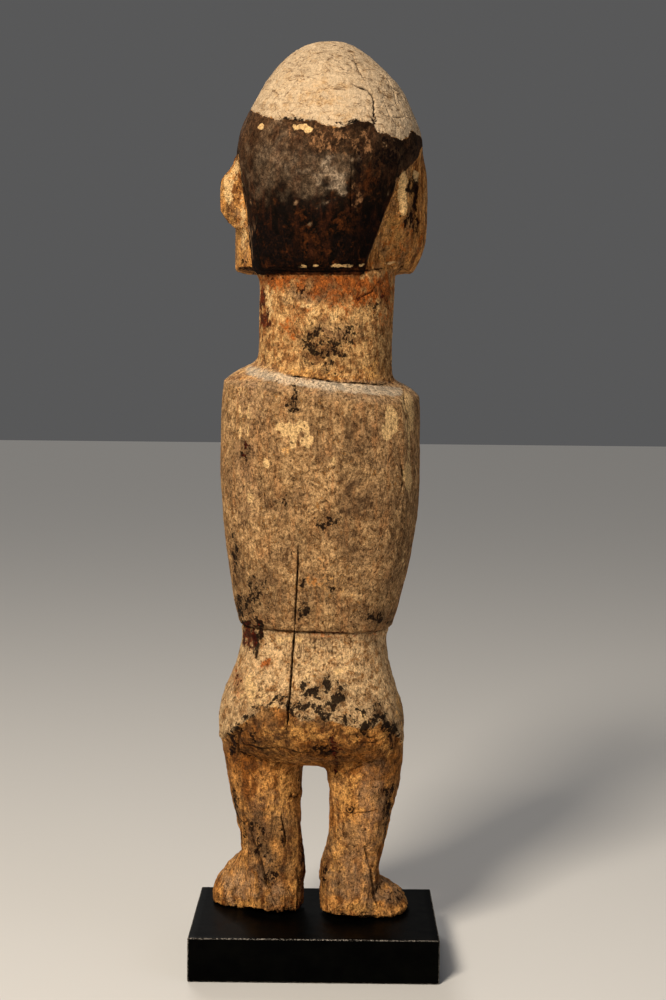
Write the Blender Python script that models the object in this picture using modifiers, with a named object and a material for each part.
"""A carved wooden standing figure on its black base block.

Metres, +Z up, with the origin at the middle of the block's underside. The
figure looks towards -Y and stands a little turned on the block. Its carving is
written in carver's millimetres (MM), which are shares of the figure's height.
"""

import collections
import math

import bmesh
import bpy
import numpy as np
from mathutils import Matrix, Vector

# Driving sizes, in metres and radians
BLOCK_WIDTH = 0.123
BLOCK_DEPTH = 0.084
BLOCK_HEIGHT = 0.022
BLOCK_EDGE = 0.0008
BLOCK_EDGE_SEGMENTS = 2
SOLE_GAP = 0.0003
FIGURE_HEIGHT = 0.439
FIGURE_TURN = math.radians(-12.0)
FIGURE_PLACE_X = 0.0045
FIGURE_PLACE_Y = -0.006

# The log that the figure was cut from leans a little to its own right
SIDE_LEAN = -0.0225

# One carver's millimetre: the stations below add up to this many of them
CARVED_HEIGHT = 439.0
MM = FIGURE_HEIGHT / CARVED_HEIGHT

# How finely the rounded forms are cut
BODY_SEGMENTS = 38
LIMB_SEGMENTS = 24
DETAIL_SEGMENTS = 12
BODY_RISE = 8.0
LIMB_RISE = 7.0
DETAIL_RISE = 6.0
BALL_RINGS = 8
SHARP_ANGLE = math.radians(40.0)

# How far the legs run up inside the hips
LEG_TOP = 88.0

# One level of a carved form. half is half its width, back and front are its
# depths behind and before its own middle, hull and face say how square its
# back and front are, and x and y shift its middle. tilt lifts its +x side and
# pitch lifts its front.
Level = collections.namedtuple(
    "Level",
    "z half back front hull face x y tilt pitch",
    defaults=(2.3, 2.3, 0.0, 0.0, 0.0, 0.0),
)

HIPS = [
    Level(77.3, 43.8, 15, 15, 2.4, 2.4, x=-0.8),
    Level(82, 45.9, 22.5, 20.5, 2.5, 2.4, x=-0.5),
    Level(87, 46.9, 30, 24, 2.6, 2.4, x=-0.5),
    Level(94, 47.3, 37, 27, 2.6, 2.4, x=-0.4),
    Level(101, 47.1, 41.5, 28, 2.5, 2.4, x=-0.1),
    Level(108, 46.0, 42.0, 28.5, 2.4, 2.4, x=0.4),
    Level(116, 43.3, 38.5, 29, 2.4, 2.4, x=0.6),
    Level(126, 39.9, 33.5, 29, 2.4, 2.4, x=0.5),
    Level(137, 36.8, 30, 28.5, 2.4, 2.4, x=0.3),
    Level(145, 36.0, 29, 28, 2.4, 2.4, x=0.3),
    Level(152, 36.2, 30, 29, 2.4, 2.4),
]

TORSO = [
    Level(146.6, 37.8, 31.5, 31.5, 2.5, 2.4, x=-0.8),
    Level(150, 39.1, 33.0, 33.5, 2.6, 2.4, x=-0.8),
    Level(160, 41.5, 35.5, 37.5, 2.7, 2.4, x=-0.9),
    Level(180, 45.2, 38.5, 42.5, 2.8, 2.4, x=-1.4),
    Level(205, 48.6, 40.5, 45.5, 2.9, 2.4, x=-1.3),
    Level(228, 49.6, 41.5, 45.5, 2.9, 2.5, x=-0.5, tilt=0.02, pitch=0.02),
    Level(250, 49.3, 41.0, 43.0, 2.9, 2.6, tilt=0.06, pitch=0.06),
    Level(267.4, 48.2, 40.2, 41.4, 3.0, 2.8, tilt=0.112, pitch=0.115),
    Level(269.6, 46.8, 38.8, 40.0, 2.9, 2.7, tilt=0.112, pitch=0.115),
    Level(276, 34.6, 33.6, 34.4, 2.3, 2.3, tilt=0.15, pitch=0.13),
]

NECK = [
    Level(256, 33.4, 33.0, 33.0, 2.1, 2.1, x=-0.8),
    Level(276, 33.6, 33.0, 33.0, 2.1, 2.1, x=-0.8),
    Level(292, 33.3, 32.5, 32.6, 2.1, 2.1, x=-0.8),
    Level(312, 34.0, 32.8, 33.2, 2.1, 2.1, x=-0.8),
    Level(336, 33.2, 32.5, 33.0, 2.1, 2.1, x=-0.4),
]

SKULL = [
    Level(324.6, 31.6, 36.4, 24, 2.6, 2.2, x=2.6),
    Level(327, 33.0, 38.4, 26, 2.6, 2.2, x=2.8),
    Level(336, 33.6, 41.2, 28, 2.6, 2.2, x=2.2),
    Level(346, 34.6, 43.8, 32, 2.6, 2.2, x=1.5),
    Level(357, 36.6, 46.2, 38, 2.6, 2.2, x=0.9),
    Level(368, 40.6, 48.0, 42, 2.5, 2.3, x=0.5),
    Level(376, 44.0, 48.4, 44, 2.4, 2.3, x=0.1),
    Level(385, 45.6, 48.2, 46.0, 2.3, 2.4, x=-0.3),
    Level(395, 43.8, 46.4, 46.0, 2.3, 2.4, x=-0.8),
    Level(405, 39.6, 42.2, 42.6, 2.2, 2.3, x=-0.6),
    Level(415, 34.6, 36.8, 37.0, 2.2, 2.2, x=-0.6),
    Level(425, 27.0, 28.6, 29.0, 2.1, 2.1, x=0.9),
    Level(433, 18.8, 19.6, 20.0, 2.0, 2.0, x=1.8),
    Level(437.6, 10.4, 10.6, 11.0, 2.0, 2.0, x=1.6),
    Level(439, 4.0, 4.0, 4.0, 2.0, 2.0, x=1.6),
]

CHEEKS = [
    Level(326.8, 45.2, 34.0, 27.5, 1.9, 3.0, x=4.4, y=-14),
    Level(328.2, 46.6, 37.0, 28.6, 1.9, 3.0, x=4.2, y=-14),
    Level(336, 48.2, 40.0, 29.4, 1.9, 3.0, x=2.7, y=-14),
    Level(346, 49.3, 41.6, 30.0, 1.9, 3.0, x=2.1, y=-14),
    Level(360, 49.4, 42.4, 30.2, 1.9, 3.0, x=2.1, y=-14),
    Level(374, 48.6, 42.4, 30.4, 1.9, 3.0, x=2.0, y=-14),
    Level(384, 46.2, 41.0, 30.0, 2.0, 2.8, x=1.4, y=-14),
    Level(393, 41.6, 37.0, 29.0, 2.1, 2.6, x=0.6, y=-13),
]

# Each ear is a lobe with a hollow in front of it. The right one is worn down.
LEFT_EAR = [
    Level(346, 2.0, 3.0, 3.0, x=43.0, y=11),
    Level(350, 6.0, 4.8, 5.4, x=43.0, y=12),
    Level(356, 9.6, 5.4, 6.6, 2.5, 2.3, x=43.2, y=12),
    Level(369, 9.8, 5.4, 6.6, 2.5, 2.3, x=43.2, y=12),
    Level(377, 6.0, 4.8, 5.6, x=43.0, y=11),
    Level(387, 1.4, 3.0, 4.0, x=42.6, y=8),
]
RIGHT_EAR = [
    Level(349.6, 2.0, 2.6, 2.6, x=-38.6, y=9),
    Level(352, 4.6, 5.0, 4.4, 2.6, 2.6, x=-38.6, y=9),
    Level(362, 5.0, 5.4, 4.6, 2.6, 2.6, x=-38.8, y=9),
    Level(371, 5.0, 5.4, 4.6, 2.6, 2.6, x=-38.8, y=9),
    Level(376, 3.0, 3.6, 3.2, x=-38.6, y=8),
]
EAR_HOLLOW = [
    Level(347, 1.0, 1.8, 1.8),
    Level(351, 3.2, 4.2, 4.2),
    Level(372, 3.2, 4.2, 4.2),
    Level(376, 1.0, 1.8, 1.8),
]
EAR_HOLLOW_LEFT = (50.6, 0.6)
EAR_HOLLOW_RIGHT = (-46.0, 1.4)

# The face sits a little to the figure's left of the neck
FACE_SHIFT = (2.0, 0.0)

BROW = [
    Level(377.5, 30.0, 6.0, 2.4, 2.2, 2.8, y=-42),
    Level(380.5, 33.0, 6.0, 4.6, 2.2, 2.8, y=-42),
    Level(384.0, 33.0, 6.0, 4.6, 2.2, 2.8, y=-42),
    Level(387.5, 29.0, 6.0, 2.4, 2.2, 2.8, y=-42),
]
NOSE = [
    Level(356.5, 5.4, 5.0, 6.0, 2.2, 2.2, y=-43),
    Level(358.5, 7.4, 5.0, 10.0, 2.2, 2.2, y=-43),
    Level(362.0, 6.8, 5.0, 10.4, 2.2, 2.0, y=-43),
    Level(370.0, 4.2, 5.0, 8.0, 2.2, 2.0, y=-43),
    Level(384.0, 3.2, 5.0, 5.0, 2.2, 2.0, y=-43),
]
BEARD = [
    Level(313.5, 17.0, 8.0, 7.0, 3.2, 3.2, y=-41),
    Level(315.5, 19.0, 9.0, 8.6, 3.2, 3.2, y=-41),
    Level(326.0, 17.4, 9.0, 9.6, 3.2, 3.2, y=-41),
    Level(337.0, 14.0, 8.0, 8.0, 3.0, 3.0, y=-41),
    Level(340.5, 11.5, 7.0, 5.4, 2.8, 2.8, y=-41),
]

EYE_X = 17.0
EYE_Y = -42.6
EYE_Z = 371.5
EYE_RADII = (8.8, 4.0, 4.2)
EYE_SLIT = (7.4, 2.4, 0.9)
MOUTH_Y = -43.0
MOUTH_Z = 348.6
MOUTH_RADII = (11.0, 4.6, 4.6)
MOUTH_SLIT = (9.0, 2.6, 1.0)
SLIT_DEPTH = 2.0

# Each leg bulges inwards over its foot and widens to the thigh
RIGHT_LEG = [
    Level(1.5, 16.4, 16.6, 13.0, 2.2, 2.2, x=-24.2),
    Level(14, 15.3, 13.6, 13.0, x=-22.1),
    Level(28, 15.3, 12.6, 13.0, x=-22.6, y=0.4),
    Level(34, 14.9, 13.2, 13.6, x=-24.1, y=0.4),
    Level(40, 14.8, 14.4, 15.0, x=-25.5, y=0.4),
    Level(48, 15.5, 15.8, 17.0, x=-26.6),
    Level(60, 17.0, 17.4, 20.6, x=-27.6),
    Level(70, 18.2, 18.6, 22.0, x=-27.8),
    Level(80, 18.9, 19.0, 22.0, x=-28.0),
    Level(LEG_TOP, 18.6, 18.0, 20.0, x=-27.6),
]
LEFT_LEG = [
    Level(1.5, 15.9, 17.4, 13.0, x=17.5),
    Level(14, 15.8, 15.4, 13.0, x=17.3),
    Level(28, 16.0, 13.6, 13.0, x=18.2, y=0.4),
    Level(36, 15.6, 13.8, 14.0, x=19.6, y=0.4),
    Level(48, 16.9, 15.6, 17.0, x=21.6),
    Level(60, 18.2, 17.2, 20.6, x=23.2),
    Level(70, 19.2, 18.4, 22.0, x=24.4),
    Level(80, 20.0, 19.0, 22.0, x=25.2),
    Level(LEG_TOP, 19.6, 18.0, 20.0, x=25.1),
]
LEFT_FOOT = [
    Level(0, 21.6, 18.0, 17.6, 2.6, 2.5, x=30.0, y=-9.5),
    Level(3.5, 22.5, 18.6, 18.2, 2.6, 2.5, x=30.0, y=-9.5),
    Level(8, 21.9, 17.8, 17.6, 2.5, 2.4, x=29.9, y=-9.5),
    Level(14, 20.2, 16.0, 16.2, 2.4, 2.3, x=29.0, y=-9.0),
    Level(20.5, 16.6, 13.0, 13.4, 2.3, 2.2, x=27.0, y=-8.0),
    Level(25.5, 12.4, 10.0, 10.4, 2.2, 2.2, x=24.6, y=-7.0),
    Level(30, 7.0, 6.4, 7.0, 2.2, 2.2, x=21.0, y=-6.5),
]
RIGHT_FOOT = [
    Level(0, 20.4, 18.4, 18.0, 2.9, 2.5, x=-30.2, y=-9.5),
    Level(2.5, 21.1, 18.8, 18.4, 2.9, 2.5, x=-30.2, y=-9.5),
    Level(8.3, 19.0, 16.6, 17.4, 2.6, 2.4, x=-28.4, y=-9.5),
    Level(12.8, 15.6, 13.6, 15.6, 2.4, 2.3, x=-25.8, y=-9.0),
    Level(17.5, 11.6, 10.6, 13.0, 2.2, 2.2, x=-22.8, y=-9.0),
    Level(24, 9.0, 8.0, 10.0, 2.2, 2.2, x=-21.0, y=-8.0),
    Level(30, 5.0, 5.0, 7.0, 2.2, 2.2, x=-20.6, y=-7.0),
]
TOE_SPREAD = (-46.0, -20.0, 6.0, 32.0)
TOE_CUT_DEPTH = 4.6
TOE_CUT_WIDTH = 3.0
TOE_CUT_HEIGHT = 11.0
TOE_ARC_RADIUS = 21.0
TOE_ARC_CENTRE = (30.0, -9.5)
TOE_TURN = 16.0


def clear_scene():
    for leftover in list(bpy.data.objects):
        bpy.data.objects.remove(leftover)


def new_collection(name, is_helper=False):
    made = bpy.data.collections.new(name)
    bpy.context.scene.collection.children.link(made)
    made.hide_render = is_helper
    return made


def paint(name, colour, roughness):
    """A plain finish for one sub-part."""
    made = bpy.data.materials.new(name)
    made.use_nodes = True
    shader = made.node_tree.nodes["Principled BSDF"]
    shader.inputs["Base Color"].default_value = (*colour, 1.0)
    shader.inputs["Roughness"].default_value = roughness
    shader.inputs["Metallic"].default_value = 0.0
    return made


def levels_between(levels, rise):
    """Rows of level values at most rise apart, on a curve that never overshoots the given levels."""
    rows = np.array(levels, float)
    steps = np.diff(rows[:, 0])[:, None]
    slopes = np.diff(rows, axis=0) / steps
    before, after = slopes[:-1], slopes[1:]
    same_way = before * after > 0
    total = np.where(same_way, before + after, 1.0)
    inner = np.where(same_way, 2 * before * after / total, 0.0)
    tangents = np.vstack([slopes[:1], inner, slopes[-1:]])
    made = []
    for i, step in enumerate(steps[:, 0]):
        count = max(1, math.ceil(step / rise))
        for k in range(count):
            t = k / count
            made.append(
                rows[i] * (1 + 2 * t) * (1 - t) ** 2
                + rows[i + 1] * t * t * (3 - 2 * t)
                + tangents[i] * step * t * (1 - t) ** 2
                - tangents[i + 1] * step * t * t * (1 - t)
            )
    made.append(rows[-1])
    return [Level(*row) for row in made]


def outline(level, segments):
    """One level's outline as points in metres, anticlockwise seen from above."""
    points = []
    for k in range(segments):
        angle = 2 * math.pi * k / segments
        c, s = math.cos(angle), math.sin(angle)
        power = 2 / (level.hull if s >= 0 else level.face)
        depth = level.back if s >= 0 else level.front
        across = level.half * math.copysign(abs(c) ** power, c)
        along = depth * math.copysign(abs(s) ** power, s)
        x = level.x + across + SIDE_LEAN * level.z
        z = level.z + level.tilt * across - level.pitch * along
        points.append(Vector((x, level.y + along, z)) * MM)
    return points


def add_object(name, mesh, collection, parent):
    """Puts a finished bmesh into the scene as one object."""
    data = bpy.data.meshes.new(name)
    mesh.to_mesh(data)
    mesh.free()
    data.shade_smooth()
    data.set_sharp_from_angle(angle=SHARP_ANGLE)
    made = bpy.data.objects.new(name, data)
    made.parent = parent
    collection.objects.link(made)
    return made


def loft(name, levels, segments, rise, collection, parent, shift=(0.0, 0.0)):
    """A closed form through the outlines of its levels."""
    mesh = bmesh.new()
    rings = []
    for level in levels_between(levels, rise):
        moved = level._replace(x=level.x + shift[0], y=level.y + shift[1])
        rings.append([mesh.verts.new(p) for p in outline(moved, segments)])
    for low, high in zip(rings, rings[1:]):
        for i in range(segments):
            j = (i + 1) % segments
            mesh.faces.new((low[i], low[j], high[j], high[i]))
    mesh.faces.new(rings[0][::-1])
    mesh.faces.new(rings[-1])
    return add_object(name, mesh, collection, parent)


def ball(name, centre, radii, collection, parent):
    """A squashed sphere, for an eye or a lip."""
    mesh = bmesh.new()
    bmesh.ops.create_uvsphere(mesh, u_segments=DETAIL_SEGMENTS, v_segments=BALL_RINGS, radius=1.0)
    bmesh.ops.scale(mesh, vec=Vector(radii) * MM, verts=mesh.verts)
    x, y, z = centre
    place = Vector((x + FACE_SHIFT[0] + SIDE_LEAN * z, y + FACE_SHIFT[1], z)) * MM
    bmesh.ops.translate(mesh, vec=place, verts=mesh.verts)
    return add_object(name, mesh, collection, parent)


def make_trunk(joined, parent):
    loft("torso", TORSO, BODY_SEGMENTS, BODY_RISE, joined, parent)
    loft("neck", NECK, BODY_SEGMENTS, BODY_RISE * 2, joined, parent)


def make_head(joined, cuts, parent):
    loft("skull", SKULL, BODY_SEGMENTS, BODY_RISE, joined, parent)
    loft("cheeks", CHEEKS, BODY_SEGMENTS, BODY_RISE, joined, parent)
    loft("left_ear", LEFT_EAR, DETAIL_SEGMENTS, DETAIL_RISE, joined, parent)
    loft("right_ear", RIGHT_EAR, DETAIL_SEGMENTS, DETAIL_RISE, joined, parent)
    for name, place in (("left", EAR_HOLLOW_LEFT), ("right", EAR_HOLLOW_RIGHT)):
        loft(f"{name}_ear_hollow", EAR_HOLLOW, DETAIL_SEGMENTS, DETAIL_RISE * 4, cuts, parent, place)


def make_face(joined, cuts, parent):
    loft("brow", BROW, LIMB_SEGMENTS, DETAIL_RISE, joined, parent, FACE_SHIFT)
    loft("nose", NOSE, DETAIL_SEGMENTS, DETAIL_RISE, joined, parent, FACE_SHIFT)
    loft("beard", BEARD, LIMB_SEGMENTS, DETAIL_RISE * 2, joined, parent, FACE_SHIFT)
    for side in (-1, 1):
        ball(f"eye_{side}", (side * EYE_X, EYE_Y, EYE_Z), EYE_RADII, joined, parent)
        front = EYE_Y - EYE_RADII[1] + SLIT_DEPTH / 2
        ball(f"eye_slit_{side}", (side * EYE_X, front, EYE_Z), EYE_SLIT, cuts, parent)
    ball("mouth", (0, MOUTH_Y, MOUTH_Z), MOUTH_RADII, joined, parent)
    front = MOUTH_Y - MOUTH_RADII[1] + SLIT_DEPTH / 2
    ball("mouth_slit", (0, front, MOUTH_Z), MOUTH_SLIT, cuts, parent)


def make_legs(joined, parent):
    loft("right_leg", RIGHT_LEG, LIMB_SEGMENTS, LIMB_RISE, joined, parent)
    loft("left_leg", LEFT_LEG, LIMB_SEGMENTS, LIMB_RISE, joined, parent)
    loft("right_foot", RIGHT_FOOT, LIMB_SEGMENTS, LIMB_RISE, joined, parent)
    loft("left_foot", LEFT_FOOT, LIMB_SEGMENTS, LIMB_RISE, joined, parent)


def make_toe_cuts(cuts, parent):
    """Upright notches round the front of each foot, that part its crude toes."""
    for side in (-1, 1):
        for number, spread in enumerate(TOE_SPREAD):
            angle = math.radians(side * (spread + TOE_TURN))
            out = Vector((math.sin(angle), -math.cos(angle), 0.0))
            centre = Vector((side * TOE_ARC_CENTRE[0], TOE_ARC_CENTRE[1], 0.0))
            place = (centre + out * TOE_ARC_RADIUS) * MM
            mesh = bmesh.new()
            bmesh.ops.create_cone(
                mesh,
                cap_ends=True,
                segments=4,
                radius1=TOE_CUT_DEPTH * MM,
                radius2=TOE_CUT_DEPTH * MM / 3,
                depth=TOE_CUT_HEIGHT * 2 * MM,
            )
            bmesh.ops.scale(mesh, vec=(TOE_CUT_WIDTH / TOE_CUT_DEPTH, 1.0, 1.0), verts=mesh.verts)
            cut = add_object(f"toe_cut_{side}_{number}", mesh, cuts, parent)
            cut.matrix_local = Matrix.Translation(place) @ Matrix.Rotation(angle, 4, "Z")


def boolean(target, operation, operands):
    modifier = target.modifiers.new(operation.lower(), "BOOLEAN")
    modifier.operation = operation
    modifier.solver = "EXACT"
    modifier.operand_type = "COLLECTION"
    modifier.collection = operands


def hide_helpers(collection):
    for helper in collection.objects:
        helper.hide_render = True
        helper.display_type = "WIRE"


def make_figure(collection):
    """The carving: every form joined to the hips, then the hollows cut."""
    joined = new_collection("carved_forms", is_helper=True)
    cuts = new_collection("carved_hollows", is_helper=True)
    stand = bpy.data.objects.new("figure_stand", None)
    stand.location = (FIGURE_PLACE_X, FIGURE_PLACE_Y, BLOCK_HEIGHT + SOLE_GAP)
    stand.rotation_euler = (0.0, 0.0, FIGURE_TURN)
    collection.objects.link(stand)

    figure = loft("carved_figure", HIPS, BODY_SEGMENTS, BODY_RISE, collection, stand)
    make_trunk(joined, stand)
    make_head(joined, cuts, stand)
    make_face(joined, cuts, stand)
    make_legs(joined, stand)
    make_toe_cuts(cuts, stand)
    boolean(figure, "UNION", joined)
    boolean(figure, "DIFFERENCE", cuts)
    hide_helpers(joined)
    hide_helpers(cuts)
    figure.data.materials.append(paint("weathered_wood", (0.40, 0.27, 0.15), 0.85))
    return figure


def make_block(collection):
    """The black block that the figure is fixed on."""
    bpy.ops.mesh.primitive_cube_add(size=1.0)
    block = bpy.context.active_object
    block.name = "base_block"
    block.scale = (BLOCK_WIDTH, BLOCK_DEPTH, BLOCK_HEIGHT)
    block.location = (0.0, 0.0, BLOCK_HEIGHT / 2)
    bpy.ops.object.transform_apply(location=False, rotation=False, scale=True)
    for old in list(block.users_collection):
        old.objects.unlink(block)
    collection.objects.link(block)
    edge = block.modifiers.new("worn_edges", "BEVEL")
    edge.width = BLOCK_EDGE
    edge.segments = BLOCK_EDGE_SEGMENTS
    block.data.materials.append(paint("black_lacquer", (0.008, 0.007, 0.007), 0.35))
    return block


def main():
    clear_scene()
    collection = new_collection("protective_figure")
    make_block(collection)
    make_figure(collection)


main()
